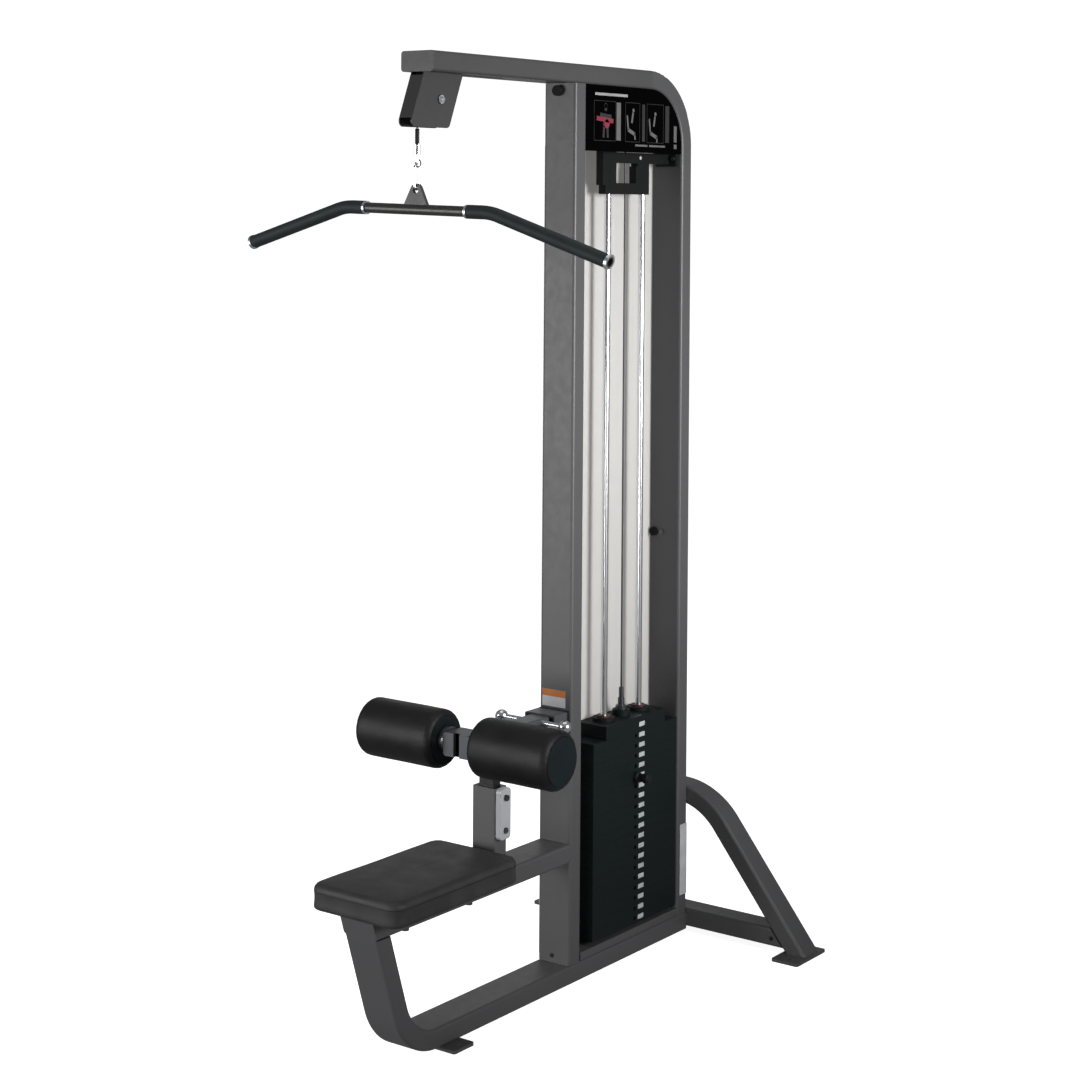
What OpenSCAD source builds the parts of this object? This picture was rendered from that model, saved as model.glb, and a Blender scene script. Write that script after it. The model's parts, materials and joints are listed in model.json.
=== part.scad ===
// Lat pulldown machine with a guided weight stack.
// Frame: +Z up, +Y from the seat towards the stack, +X to the user's right.
// The origin is on the floor under the middle of the whole machine.

/* [Frame tube] */
// Width of the frame tube, across the machine
tube_w = 100; // [98:1:104]
// Depth of the frame tube
tube_t = 50; // [48:1:52]
// Wall of every frame tube
wall = 3; // [2:0.5:5]
// Outer corner radius of the tube
tube_r = 8; // [6:1:10]

/* [Machine] */
// Height of the top face of the arm
height = 2381; // [2340:1:2420]
// Outside depth of the column, from upright to upright
column_d = 558; // [550:1:570]
// Reach of the arm in front of the front upright
reach = 578; // [570:1:590]
// Outer radius of the bend at the top of the rear upright
top_bend_r = 200; // [190:1:210]
// Height of the seat beam's top face
seat_z = 372; // [366:1:378]
// Lean of the front leg from upright
leg_lean = 18.8; // [16:0.1:21]

/* [Stabiliser] */
// Depth of the stabiliser tube
stab_d = 75; // [70:1:80]
// Outer radius of the crown of the arch
crown_r = 220; // [210:1:230]
// Height of the crown's top face
crown_z = 412; // [405:1:420]
// Slope of the arch's legs from level
arch_slope = 51.6; // [50:0.1:53]

/* [Weight stack] */
// Width of a plate, across the machine
plate_w = 98; // [94:1:98]
// Length of a plate
plate_l = 395; // [380:1:400]
// Thickness of a plate
plate_t = 26.8; // [26:0.1:27]
// Number of plates under the head
plates = 19; // [17:1:19]
// Number of those plates that hang on the pin
picked = 5; // [1:1:10]
// Diameter of a guide rod
rod_d = 18; // [16:1:20]
// Distance between the guide rods
rod_gap = 164; // [150:1:170]

/* [Seat and rollers] */
// Width of the seat pad
seat_w = 270; // [260:1:280]
// Length of the seat pad
seat_l = 472; // [460:1:480]
// Diameter of a thigh roller
roller_d = 146; // [140:1:150]
// Length of a thigh roller
roller_l = 241; // [235:1:245]
// Height of the rollers' axle
roller_z = 699; // [690:1:705]

/* [Lat bar] */
// Length of the bar from end to end
bar_l = 1098; // [1060:1:1110]
// Angle at which the bar's ends slope down
bar_bend = 17.5; // [12:0.1:20]
// Tilt of the hanging bar out of level
bar_tilt = 1.4; // [0:0.1:2]
// Angle at which the bar's sloping ends lean towards the machine
bar_lean = 11.3; // [0:0.1:14]
// Diameter of the bar's tube
bar_d = 25.4; // [25:0.1:27]
// Diameter of the grips
grip_d = 33; // [31:1:34]

/* [Cable] */
// Diameter of the coated cable
cable_d = 5; // [4:0.5:6]
// Radius of the cable's centreline on a pulley
wrap_r = 62; // [60:0.5:63]

/* [Hidden] */
$fn = 48;
half_w = tube_w / 2;
foot_t = 8;                            // floor plates
beam_z = foot_t + tube_t / 2;          // centre height of the base beam
beam_top = foot_t + tube_t;
y_face = 60;                           // front face of the front upright
y_back = y_face + column_d;            // rear face of the rear upright
y_bay = y_face + tube_t;               // front end of the stack's bay
y_bay_end = y_back - tube_t;           // rear end of the stack's bay
y_tip = y_face - reach;                // front end of the arm
arm_z = height - tube_t / 2;
arm_under = height - tube_t;
bend_in = top_bend_r - tube_t;
bend_y = y_back - top_bend_r;          // centre of the top bend
bend_z = height - top_bend_r;

leg_bend_r = 170;                      // outer radius of the bend at the floor
leg_bend_y = y_face - 530;
leg_bend_z = foot_t + leg_bend_r;
leg_turn = 90 - leg_lean;
seat_beam_under = seat_z - tube_t;

stab_t = 50;
crown_c = crown_z - crown_r;           // centre height of the crown
stab_y = y_back;                       // front face of the stabiliser
cross_z = 42;                          // centre height of the cross beam
rear_foot = [355, y_face + 500, 80, 155];
front_foot = [180, 77];
front_foot_y = y_face - 482;
anchor_r = 6.5;
front_anchor_x = 75;
rear_anchor = [395, y_face + 526];

stack_y = y_face + 302;                // centre of stem, cable and plates
pitch = plate_t + 0.4;
stack_z = 91;                          // underside of the lowest plate
head_z = stack_z + plates * pitch;
head_h = 36;
head_l = 280;
resting = plates - picked;
base_h = 21;
cushion_h = stack_z - beam_top - base_h;
stem_d = 26;
pin_d = 10;
pin_hole_z = plate_t / 2;
pin_z = stack_z + resting * pitch + pin_hole_z;
rod_y = [stack_y - rod_gap / 2, stack_y + rod_gap / 2];
rod_top = 2150;
flange_x = 24.5;                       // bolts of the rod bracket's flange
flange_z = 2146;
clip = [-8, 1112];                     // bolt of the shield clip
stop = [-34, 1112];                    // rubber stop beside it
upright_bolts = [[-flange_x, flange_z], [flange_x, flange_z], clip, stop];
bolt_hole_r = 4.2;

rim_r = wrap_r + 4;
pulley_w = 22;
front_pulley = [y_face - 576 + wrap_r, 2267];
rear_pulley = [stack_y - wrap_r, 2288];
cable_run = rear_pulley - front_pulley;
cable_rise = atan(cable_run[1] / cable_run[0]);
cable_len = norm(cable_run);
axle_r = 8;
bearing_r = 17;
cheek = 3;
cheek_x = 17;                          // inner face of a pulley cheek

drop_y = y_face - 576;                 // line of the cable over the bar
ferrule_top = 2186;
swivel_top = 2158;
swivel_low = 2133;
eye_z = 2113;
eye_r = 10.5;
eye_hole_r = 6.4;
swivel_r = 7.5;
hook_r = 9;                            // carabiner, centreline radius
hook_wire = 3.2;
hook_up = 2102.1;                      // centres of the carabiner's two bows
hook_down = 2060.5;
hanger_hole_z = 2049.5;
bar_z = 2003;
elbow_x = 224;
elbow_r = 150;
grip_x = 159;
bar_half = bar_l / 2;
elbow_t = elbow_r * tan(bar_bend / 2);
straight_x = elbow_x - elbow_t;        // where the bar's straight middle ends
lap = 0.6;                             // degrees that a bend runs into a straight
skin = 0.2;                            // how much thinner than them it is
end_collar = 7;
slope_l = (bar_half - elbow_x) / cos(bar_bend) - elbow_t;

seat_front = y_face - 792;             // front end of the seat pad
seat_h = 66;                           // its thickness
post_y = y_face - 275;                 // centre of the thigh-pad post
sleeve = [72, 50];
sleeve_top = 574;
inner = [46, 30];
bush_h = 30;
inner_low = 395;
carriage_low = 660;                    // underside of the carriage arm
carriage_h = 50;
carriage_w = 60;
roller_y = y_face - 380;
roller_x = 56;                         // inner end of a roller
shaft_r = 12.5;
handle_y = y_face - 97;
handle_z = 699;
handle_r = 7.5;
knob_r = 17;
slot_z = 430;                          // lock slot in the inner post
lock_z = 551;
block = [14, 42];
block_z = [448, 574];

module rounded(w, h, r) {
    square([w - 2 * r, h], center = true);
    square([w, h - 2 * r], center = true);
    for (x = [-1, 1], y = [-1, 1])
        translate([x * (w / 2 - r), y * (h / 2 - r)]) circle(r);
}

module ring(w, h, r, t) {
    difference() {
        rounded(w, h, r);
        rounded(w - 2 * t, h - 2 * t, max(r - t, 1));
    }
}

// A tube along Y between two places, centred at height z.
module tube_y(y0, y1, z) {
    translate([0, y1, z]) rotate([90, 0, 0])
        linear_extrude(y1 - y0) ring(tube_w, tube_t, tube_r, wall);
}

// A tube along Z between two heights, with its front face at y.
module tube_z(z0, z1, y) {
    translate([0, y + tube_t / 2, z0])
        linear_extrude(z1 - z0) ring(tube_w, tube_t, tube_r, wall);
}

// A bend of frame tube in the YZ plane, from angle a over turn degrees.
// Angle 0 points down and 90 points to +Y.
module bend_yz(r_out, a, turn) {
    rotate([0, 90, 0]) rotate([0, 0, a]) rotate_extrude(angle = turn, $fn = 96)
        translate([r_out - tube_t / 2, 0]) rotate(90) ring(tube_w, tube_t, tube_r, wall);
}

// A cylinder along X from x0 to x1.
module rod_x(r, x0, x1, y, z) {
    translate([x0, y, z]) rotate([0, 90, 0]) cylinder(r = r, h = x1 - x0);
}

module rod_z(r, z0, z1, x, y) {
    translate([x, y, z0]) cylinder(r = r, h = z1 - z0);
}

module box(x, y, z) {
    translate([x[0], y[0], z[0]]) cube([x[1] - x[0], y[1] - y[0], z[1] - z[0]]);
}

// ---- frame ----

module base_beam() {
    color("dimgray") tube_y(leg_bend_y, y_back, beam_z);
}

module leg_cut() {
    box([-half_w - 1, half_w + 1], [y_tip - 300, y_face], [seat_beam_under, height]);
}

module front_leg() {
    color("dimgray") difference() {
        translate([0, leg_bend_y, leg_bend_z]) {
            bend_yz(leg_bend_r, -leg_turn, leg_turn);
            rotate([leg_lean, 0, 0]) translate([0, -leg_bend_r, 0])
                linear_extrude(280) translate([0, tube_t / 2]) ring(tube_w, tube_t, tube_r, wall);
        }
        leg_cut();
    }
}

// The slanted plane through the leg's front face, as a block in front of it.
module leg_front_block(back) {
    translate([0, leg_bend_y, leg_bend_z]) rotate([leg_lean, 0, 0])
        translate([-half_w - 1, -leg_bend_r - 200 + back, 0]) cube([tube_w + 2, 200, 500]);
}

module seat_beam() {
    y0 = y_face - 800;
    color("dimgray") {
        difference() {
            tube_y(y0, y_face, seat_z - tube_t / 2);
            leg_front_block(0);
        }
        difference() {
            intersection() {
                translate([0, y_face, seat_z - tube_t / 2]) rotate([90, 0, 0])
                    linear_extrude(800)
                    rounded(tube_w - 2 * wall, tube_t - 2 * wall, tube_r - wall);
                leg_front_block(wall);
            }
            leg_front_block(0);
        }
    }
}

module front_upright() {
    color("dimgray") tube_z(beam_top, arm_under, y_face);
}

module rear_upright() {
    color("dimgray") {
        difference() {
            tube_z(beam_top, bend_z, y_bay_end);
            for (p = upright_bolts)
                translate([p[0], y_bay_end - 1, p[1]]) rotate([-90, 0, 0])
                    cylinder(r = bolt_hole_r, h = 10);
        }
        translate([0, bend_y, bend_z]) bend_yz(top_bend_r, 90, 90);
    }
}

module top_arm() {
    slot_x = 14;
    color("dimgray") {
        difference() {
            tube_y(y_tip, bend_y, arm_z);
            box([-slot_x, slot_x], [y_tip + 30, y_face - 235], [arm_under - 1, arm_under + wall + 1]);
            box([-slot_x, slot_x], [rear_pulley[0] - 75, rear_pulley[0] + 75],
                [arm_under - 1, arm_under + wall + 1]);
        }
        translate([0, y_tip + wall, arm_z]) rotate([90, 0, 0])
            linear_extrude(wall) rounded(tube_w - 2 * wall, tube_t - 2 * wall, tube_r - wall);
    }
}

// ---- rear stabiliser ----

module stab_ring() {
    ring(stab_t, stab_d, tube_r, wall);
}

module stabiliser_crown() {
    color("dimgray") translate([0, stab_y + stab_d / 2, crown_c]) rotate([90, 0, 0])
        rotate([0, 0, 90 - arch_slope]) rotate_extrude(angle = 2 * arch_slope, $fn = 128)
        translate([crown_r - stab_t / 2, 0]) stab_ring();
}

// Everything on the far side of the plane of a leg's inner face.
module beyond_leg(side) {
    translate([0, stab_y + stab_d / 2, crown_c]) rotate([0, side * arch_slope, 0])
        translate([-700, -stab_d, crown_r - stab_t]) cube([1400, 2 * stab_d, 700]);
}

module stabiliser_leg(side) {
    difference() {
        translate([0, stab_y + stab_d / 2, crown_c]) rotate([0, side * arch_slope, 0])
            translate([0, 0, crown_r - stab_t / 2]) rotate([0, side * 90, 0])
            linear_extrude(500) stab_ring();
        box([-700, 700], [stab_y - 1, stab_y + stab_d + 1], [-300, foot_t]);
    }
}

module stabiliser_legs() {
    color("dimgray") {
        stabiliser_leg(-1);
        stabiliser_leg(1);
    }
}

module stabiliser_crossbeam() {
    color("dimgray") difference() {
        translate([-400, stab_y + stab_d / 2, cross_z]) rotate([90, 0, 90])
            linear_extrude(800) ring(stab_d, stab_t, tube_r, wall);
        for (side = [-1, 1]) beyond_leg(side);
    }
}

module anchor_hole(x, y) {
    rod_z(anchor_r, -1, foot_t + 1, x, y);
}

module foot_plates() {
    color("dimgray") {
        difference() {
            translate([0, front_foot_y, 0]) linear_extrude(foot_t)
                rounded(front_foot[0], front_foot[1], 6);
            for (x = [-1, 1]) anchor_hole(x * front_anchor_x, front_foot_y);
        }
        for (side = [-1, 1]) difference() {
            translate([side * (rear_foot[0] + rear_foot[2] / 2), rear_foot[1] + rear_foot[3] / 2, 0])
                linear_extrude(foot_t) rounded(rear_foot[2], rear_foot[3], 6);
            anchor_hole(side * rear_anchor[0], rear_anchor[1]);
        }
    }
}

// ---- pulleys and cable ----

module pulley(c) {
    groove = cable_d / 2 + 0.4;
    difference() {
        rod_x(rim_r, -pulley_w / 2, pulley_w / 2, c[0], c[1]);
        rod_x(bearing_r, -pulley_w / 2 - 1, pulley_w / 2 + 1, c[0], c[1]);
        translate([0, c[0], c[1]]) rotate([0, 90, 0]) rotate_extrude($fn = 96) {
            translate([wrap_r, 0]) circle(groove);
            translate([wrap_r, -groove]) square([10, 2 * groove]);
        }
        for (side = [-1, 1])
            translate([side * (pulley_w / 2 - 2.5), c[0], c[1]]) rotate([0, 90, 0])
            difference() {
                cylinder(r = 50, h = 5.2, center = true);
                cylinder(r = 24, h = 6, center = true);
            }
    }
}

module bearing(c) {
    difference() {
        rod_x(bearing_r, -pulley_w / 2, pulley_w / 2, c[0], c[1]);
        rod_x(axle_r + 0.05, -pulley_w / 2 - 1, pulley_w / 2 + 1, c[0], c[1]);
    }
}

module front_pulley_wheel() {
    color("black") pulley(front_pulley);
}

module rear_pulley_wheel() {
    color("black") pulley(rear_pulley);
}

module front_bearing() {
    color("silver") bearing(front_pulley);
}

module rear_bearing() {
    color("silver") bearing(rear_pulley);
}

// Unit vector from a to b.
function way(a, b) = (b - a) / norm(b - a);

// Where a rounded corner at p, between a and b, leaves the two edges.
function corner_ends(p, a, b, r) =
    let (u = way(p, a), v = way(p, b), t = r / tan(acos(u * v) / 2)) [p + t * u, p + t * v];

// The middle of that rounding.
function corner_middle(p, a, b, r) =
    let (u = way(p, a), v = way(p, b)) p + way([0, 0], u + v) * r / sin(acos(u * v) / 2);

// Side outline of the front pulley housing, leaning forward as it goes down.
cheek_top = [y_tip + 2, arm_under];
cheek_low = [y_tip - 50, 2199];
cheek_l = [148, 0];

module cheek_outline() {
    r = 14;
    front = [cheek_low, cheek_top, cheek_low + cheek_l];
    rear = [cheek_low + cheek_l, cheek_low, cheek_top + cheek_l];
    polygon(concat([cheek_top], corner_ends(front[0], front[1], front[2], r),
        corner_ends(rear[0], rear[1], rear[2], r), [cheek_top + cheek_l]));
    translate(corner_middle(front[0], front[1], front[2], r)) circle(r);
    translate(corner_middle(rear[0], rear[1], rear[2], r)) circle(r);
}

module pulley_housing() {
    color("dimgray") {
        for (side = [-1, 1]) difference() {
            translate([side == 1 ? cheek_x : -cheek_x - cheek, 0, 0]) rotate([90, 0, 90])
                linear_extrude(cheek) cheek_outline();
            rod_x(axle_r + 0.05, -30, 30, front_pulley[0], front_pulley[1]);
        }
        wall_start = cheek_top + (cheek_low - cheek_top) * 0.06;
        wall_end = cheek_top + (cheek_low - cheek_top) * 0.84;
        translate([-cheek_x, 0, 0]) rotate([90, 0, 90]) linear_extrude(2 * cheek_x)
            polygon([wall_start, wall_start + [cheek, 0], wall_end + [cheek, 0], wall_end]);
    }
}

module axle(c) {
    rod_x(axle_r, -cheek_x - cheek, cheek_x + cheek, c[0], c[1]);
    for (side = [-1, 1]) {
        x = side * (cheek_x + cheek + 2.5);
        translate([x, c[0], c[1]]) rotate([0, 90, 0]) cylinder(r = 11, h = 5, center = true);
    }
}

module spacers(c) {
    for (x = [-cheek_x, pulley_w / 2 + 0.3]) difference() {
        rod_x(11, x, x + cheek_x - pulley_w / 2 - 0.3, c[0], c[1]);
        rod_x(axle_r, x - 1, x + cheek_x, c[0], c[1]);
    }
}

module pulley_axles() {
    color("silver") for (c = [front_pulley, rear_pulley]) {
        axle(c);
        spacers(c);
    }
}

module rear_pulley_hangers() {
    color("dimgray") for (side = [-1, 1]) difference() {
        x = side == 1 ? cheek_x : -cheek_x - cheek;
        union() {
            box([x, x + cheek], [rear_pulley[0] - 30, rear_pulley[0] + 30], [rear_pulley[1], arm_under]);
            rod_x(30, x, x + cheek, rear_pulley[0], rear_pulley[1]);
        }
        rod_x(axle_r + 0.05, -30, 30, rear_pulley[0], rear_pulley[1]);
    }
}

// The cable over one pulley, from angle a over turn degrees. Angle 180 is up.
module cable_wrap(c, a, turn) {
    translate([0, c[0], c[1]]) rotate([0, 90, 0]) rotate([0, 0, a])
        rotate_extrude(angle = turn, $fn = 96) translate([wrap_r, 0])
        circle(cable_d / 2 - skin / 5, $fn = 24);
}

module cable_over_pulleys() {
    color("dimgray") {
        cable_wrap(front_pulley, 180 + cable_rise - lap, 90 - cable_rise + lap);
        cable_wrap(rear_pulley, 90, 90 + cable_rise + lap);
        translate([0, front_pulley[0], front_pulley[1]]) rotate([cable_rise, 0, 0])
            translate([0, cable_len, wrap_r]) rotate([90, 0, 0])
            cylinder(r = cable_d / 2, h = cable_len, $fn = 24);
    }
}

module cable_front_drop() {
    color("dimgray") rod_z(cable_d / 2, ferrule_top, front_pulley[1], 0, drop_y);
}

module cable_rear_drop() {
    color("dimgray") rod_z(cable_d / 2, head_z + 104, rear_pulley[1], 0, stack_y);
}

// ---- guide rods, bracket, panels ----

module guide_rods() {
    color("silver") for (y = rod_y) rod_z(rod_d / 2, beam_top + base_h, rod_top, 0, y);
}

module rod_bracket() {
    w = 11;
    flange_y = y_bay_end - 8;
    color("black") difference() {
        union() {
            box([-w, w], [stack_y - 108, stack_y + 100], [2046, 2076]);
            box([-w, w], [stack_y - 120, stack_y - 57], [2070, 2170]);
            box([-w, w], [stack_y + 36, stack_y + 100], [2070, 2122]);
            box([-w, w], [stack_y - 120, flange_y], [2130, 2158]);
            box([-w, w], [stack_y + 44, stack_y + 100], [2122, 2130]);
            box([-32, 32], [flange_y, y_bay_end], [2124, 2170]);
        }
        for (y = rod_y) rod_z(rod_d / 2, 2040, rod_top, 0, y);
        rod_z(8, 2040, 2180, 0, stack_y);
        for (x = [-flange_x, flange_x])
            translate([x, flange_y - 1, flange_z]) rotate([-90, 0, 0])
                cylinder(r = bolt_hole_r, h = 10);
    }
}

module bolt_head(d, h) {
    cylinder(r = d / 2, h = h);
}

// Visible fasteners: bracket flange, shield clip, lock block and seat pad.
module frame_bolts() {
    color("silver") {
        for (x = [-flange_x, flange_x])
            translate([x, y_bay_end - 8, flange_z]) rotate([90, 0, 0]) bolt_head(11, 5);
        translate([clip[0], y_bay_end, clip[1]]) rotate([90, 0, 0]) bolt_head(13, 5);
        translate([sleeve[0] / 2 + block[0], post_y, 470]) rotate([0, 90, 0]) bolt_head(15, 4);
        for (y = [y_face - 640, y_face - 400], x = [-35, 35])
            translate([x, y, seat_beam_under - 6]) bolt_head(18, 6);
    }
}

module back_shield() {
    x = -half_w;
    color("white") difference() {
        box([x - 3, x], [y_face + 8, y_back - 8], [beam_top + 14, 2170]);
        for (z = [120, 1112, 2120], y = [y_face + 25, y_back - 25]) rod_x(3, x - 4, x + 1, y, z);
    }
}

module rubber_bumpers() {
    color("black") {
        translate([-3, y_face, 2312]) rotate([90, 0, 0]) cylinder(r = 14, h = 12);
        translate([stop[0], y_bay_end, stop[1]]) rotate([90, 0, 0]) cylinder(r = 12, h = 7);
    }
}

module placard() {
    x = half_w - 8;
    r = bend_in;
    y0 = y_bay;
    y1 = y_bay_end;
    z0 = 2158;
    z1 = arm_under;
    color("black") translate([x, 0, 0]) rotate([90, 0, 90]) linear_extrude(4) {
        translate([y0, z0]) square([y1 - y0 - r, z1 - z0]);
        translate([y0, z0]) square([y1 - y0, z1 - z0 - r]);
        intersection() {
            translate([y1 - r, z1 - r]) circle(r, $fn = 96);
            translate([y0, z0]) square([y1 - y0, z1 - z0]);
        }
    }
}

// ---- weight stack ----

module plate(z) {
    difference() {
        translate([0, stack_y, z + plate_t / 2]) cube([plate_w, plate_l, plate_t], center = true);
        for (y = rod_y) rod_z(rod_d / 2 + 2, z - 1, z + plate_t + 1, 0, y);
        rod_z(stem_d / 2 + 2, z - 1, z + plate_t + 1, 0, stack_y);
        rod_x(pin_d / 2 + 0.4, 0, plate_w / 2 + 1, stack_y, z + pin_hole_z);
    }
}

module resting_plates() {
    color("darkslategray") for (i = [0 : resting - 1]) plate(stack_z + i * pitch);
}

module lifted_plates() {
    color("darkslategray") for (i = [resting : plates - 1]) plate(stack_z + i * pitch);
}

module selector_head() {
    color("darkslategray") difference() {
        union() {
            translate([0, stack_y, head_z + head_h / 2]) cube([plate_w, head_l, head_h], center = true);
            for (y = rod_y) rod_z(30, head_z + head_h, head_z + head_h + 10, 0, y);
            rod_z(24, head_z + head_h, head_z + head_h + 16, 0, stack_y);
        }
        for (y = rod_y) rod_z(rod_d / 2 + 6, head_z - 1, head_z + 60, 0, y);
        rod_z(stem_d / 2, head_z - 1, head_z + 60, 0, stack_y);
    }
}

module head_bushes() {
    color("maroon") for (y = rod_y) difference() {
        union() {
            rod_z(rod_d / 2 + 6, head_z, head_z + head_h + 10, 0, y);
            rod_z(rod_d / 2 + 10, head_z + head_h + 10, head_z + head_h + 15, 0, y);
        }
        rod_z(rod_d / 2 + 0.1, head_z - 1, head_z + 80, 0, y);
    }
}

module selector_stem() {
    low = stack_z + 3;
    top = head_z + head_h + 16;
    color("silver") difference() {
        rod_z(stem_d / 2, low, top, 0, stack_y);
        for (i = [0 : plates - 1])
            rod_x(pin_d / 2 + 0.4, -20, 20, stack_y, stack_z + i * pitch + pin_hole_z);
    }
}

module cable_terminal() {
    z = head_z + head_h + 16;
    color("dimgray") difference() {
        union() {
            rod_z(15, z, z + 10, 0, stack_y);
            rod_z(9, z + 10, z + 30, 0, stack_y);
            rod_z(6.5, z + 30, head_z + 110, 0, stack_y);
        }
        rod_z(cable_d / 2, head_z + 104, head_z + 120, 0, stack_y);
    }
}

module pin_shaft() {
    color("silver") rod_x(pin_d / 2, -stem_d / 2 - 1, plate_w / 2 + 12, stack_y, pin_z);
}

module pin_knob() {
    x = plate_w / 2;
    color("black") difference() {
        translate([x + 1, stack_y, pin_z]) rotate([0, 90, 0]) rotate_extrude()
            polygon([[0, 0], [14, 0], [14, 8], [10, 13], [10.5, 23], [14, 29], [14, 40], [10, 45], [0, 45]]);
        rod_x(pin_d / 2, x, x + 12, stack_y, pin_z);
    }
}

module stack_base() {
    color("dimgray") translate([0, y_bay, beam_top + base_h / 2]) rotate([-90, 0, 0])
        linear_extrude(y_bay_end - y_bay) ring(tube_w, base_h, 4, wall);
}

module stack_cushions() {
    z = beam_top + base_h;
    color("black") for (y = rod_y) difference() {
        rod_z(26, z, z + cushion_h - 0.3, 0, y);
        rod_z(rod_d / 2, z - 1, z + 30, 0, y);
    }
}

// ---- seat ----

module seat_board() {
    color("burlywood") box([-seat_w / 2 + 14, seat_w / 2 - 14],
        [seat_front + 14, seat_front + seat_l - 14], [seat_z, seat_z + 12]);
}

module seat_pad() {
    color("black") difference() {
        translate([0, seat_front + seat_l / 2, seat_z]) union() {
            linear_extrude(seat_h - 8) rounded(seat_w, seat_l, 28);
            translate([0, 0, seat_h - 8]) linear_extrude(8) rounded(seat_w - 24, seat_l - 24, 20);
        }
        box([-seat_w / 2 + 14, seat_w / 2 - 14],
            [seat_front + 14, seat_front + seat_l - 14], [seat_z - 1, seat_z + 12]);
    }
}

// ---- thigh-pad post and carriage ----

module post_sleeve() {
    color("dimgray") difference() {
        translate([0, post_y, seat_z]) linear_extrude(sleeve_top - seat_z)
            ring(sleeve[0], sleeve[1], 6, 4);
        rod_x(5, 20, 40, post_y, lock_z);
    }
}

module sleeve_bush() {
    color("black") translate([0, post_y, sleeve_top - bush_h]) linear_extrude(bush_h)
        difference() {
            rounded(sleeve[0] - 8, sleeve[1] - 8, 2);
            rounded(inner[0] + 0.2, inner[1] + 0.2, 3.1);
            translate([inner[0] / 2, -5.5]) square([12, 11]);
        }
}

module lock_block() {
    x = sleeve[0] / 2;
    color("lightgray") difference() {
        translate([x, post_y, (block_z[0] + block_z[1]) / 2]) rotate([90, 0, 90])
            linear_extrude(block[0]) rounded(block[1], block_z[1] - block_z[0], 10);
        rod_x(4.1, x - 1, x + 20, post_y, lock_z);
    }
}

module lock_pin() {
    x = sleeve[0] / 2 + block[0];
    color("dimgray") {
        rod_x(4, inner[0] / 2 - 3, x, post_y, lock_z);
        rod_x(7.5, x + 0.2, x + 7, post_y, lock_z);
        rod_x(4, x, x + 0.2, post_y, lock_z);
    }
}

module inner_post() {
    color("silver") difference() {
        translate([0, post_y, inner_low]) linear_extrude(carriage_low - inner_low)
            ring(inner[0], inner[1], 3, 4);
        box([inner[0] / 2 - 5, inner[0] / 2 + 1], [post_y - 4.5, post_y + 4.5], [slot_z, lock_z + 6]);
    }
}

module post_glide() {
    color("black") translate([0, post_y, inner_low]) linear_extrude(20) difference() {
        rounded(sleeve[0] - 8.2, sleeve[1] - 8.2, 1.9);
        rounded(inner[0], inner[1], 3);
    }
}

module carriage_arm() {
    hub_y = [roller_y - 30, roller_y + 34];
    arm_mid = carriage_low + carriage_h / 2;
    saddle_y = [y_face - 68, y_face - 14];
    hub_groove = 9;
    color("dimgray") {
        difference() {
            translate([0, saddle_y[0], arm_mid]) rotate([90, 0, 0])
                linear_extrude(saddle_y[0] - hub_y[1]) ring(carriage_w, carriage_h, 6, wall);
            rod_x(handle_r, -50, 50, handle_y, handle_z);
        }
        translate([0, saddle_y[1], arm_mid]) rotate([90, 0, 0])
            linear_extrude(saddle_y[1] - saddle_y[0]) ring(94, 58, 5, 5);
        difference() {
            translate([0, hub_y[1], roller_z - 2]) rotate([90, 0, 0])
                linear_extrude(hub_y[1] - hub_y[0]) rounded(82, 58, 8);
            rod_x(shaft_r, -50, 50, roller_y, roller_z);
            box([-hub_groove, hub_groove], [hub_y[0] - 1, hub_y[0] + 10],
                [roller_z - 40, roller_z + 40]);
        }
    }
}

module guide_shoe() {
    color("black") translate([0, y_face - 4, carriage_low + carriage_h / 2]) rotate([90, 0, 0])
        linear_extrude(10) rounded(92, 60, 6);
}

module roller_axle() {
    end = roller_x + roller_l - 6;
    color("silver") {
        rod_x(shaft_r, -end, end, roller_y, roller_z);
        for (side = [-1, 1]) difference() {
            x = side == 1 ? 41 : -53;
            rod_x(34, x, x + 12, roller_y, roller_z);
            rod_x(shaft_r, x - 1, x + 20, roller_y, roller_z);
        }
    }
}

module lift_handle() {
    color("silver") {
        rod_x(handle_r, -100, 100, handle_y, handle_z);
        for (x = [-100, 100]) translate([x, handle_y, handle_z]) sphere(knob_r, $fn = 48);
    }
}

// A roller is turned about X from a half outline; side 1 is +X.
module roller_pad(side) {
    r = roller_d / 2;
    e = 18;
    core = 30.2;
    cap = 59;
    color("black") translate([side * roller_x, roller_y, roller_z]) rotate([0, side * 90, 0])
        rotate_extrude($fn = 72) difference() {
            union() {
                translate([core, 0]) square([r - e - core, roller_l]);
                translate([core, e]) square([r - core, roller_l - 2 * e]);
                for (z = [e, roller_l - e]) translate([r - e, z]) circle(e);
            }
            for (z = [-1, roller_l - 4]) translate([0, z]) square([cap, 5]);
        }
}

module roller_core(side) {
    color("darkslategray") translate([side * roller_x, roller_y, roller_z]) rotate([0, side * 90, 0])
        rotate_extrude($fn = 72) {
            translate([shaft_r + 0.08, 3]) square([30 - shaft_r - 0.08, roller_l - 10]);
            translate([shaft_r + 0.08, 0.3]) square([58.5 - shaft_r - 0.08, 2.9]);
            translate([0, roller_l - 3.8]) square([58.5, 3.8]);
            translate([shaft_r + 6, roller_l - 8]) square([30 - shaft_r - 6, 5]);
        }
}

// ---- lat bar ----

module swivel_housing() {
    color("silver") difference() {
        union() {
            rod_z(4.5, swivel_top, ferrule_top + 8, 0, drop_y);
            rod_z(swivel_r, swivel_low, swivel_top, 0, drop_y);
        }
        rod_z(cable_d / 2, ferrule_top, ferrule_top + 20, 0, drop_y);
        rod_z(3.26, swivel_low - 1, swivel_low + 14, 0, drop_y);
        rod_z(5, swivel_low + 10, swivel_low + 17, 0, drop_y);
    }
}

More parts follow.
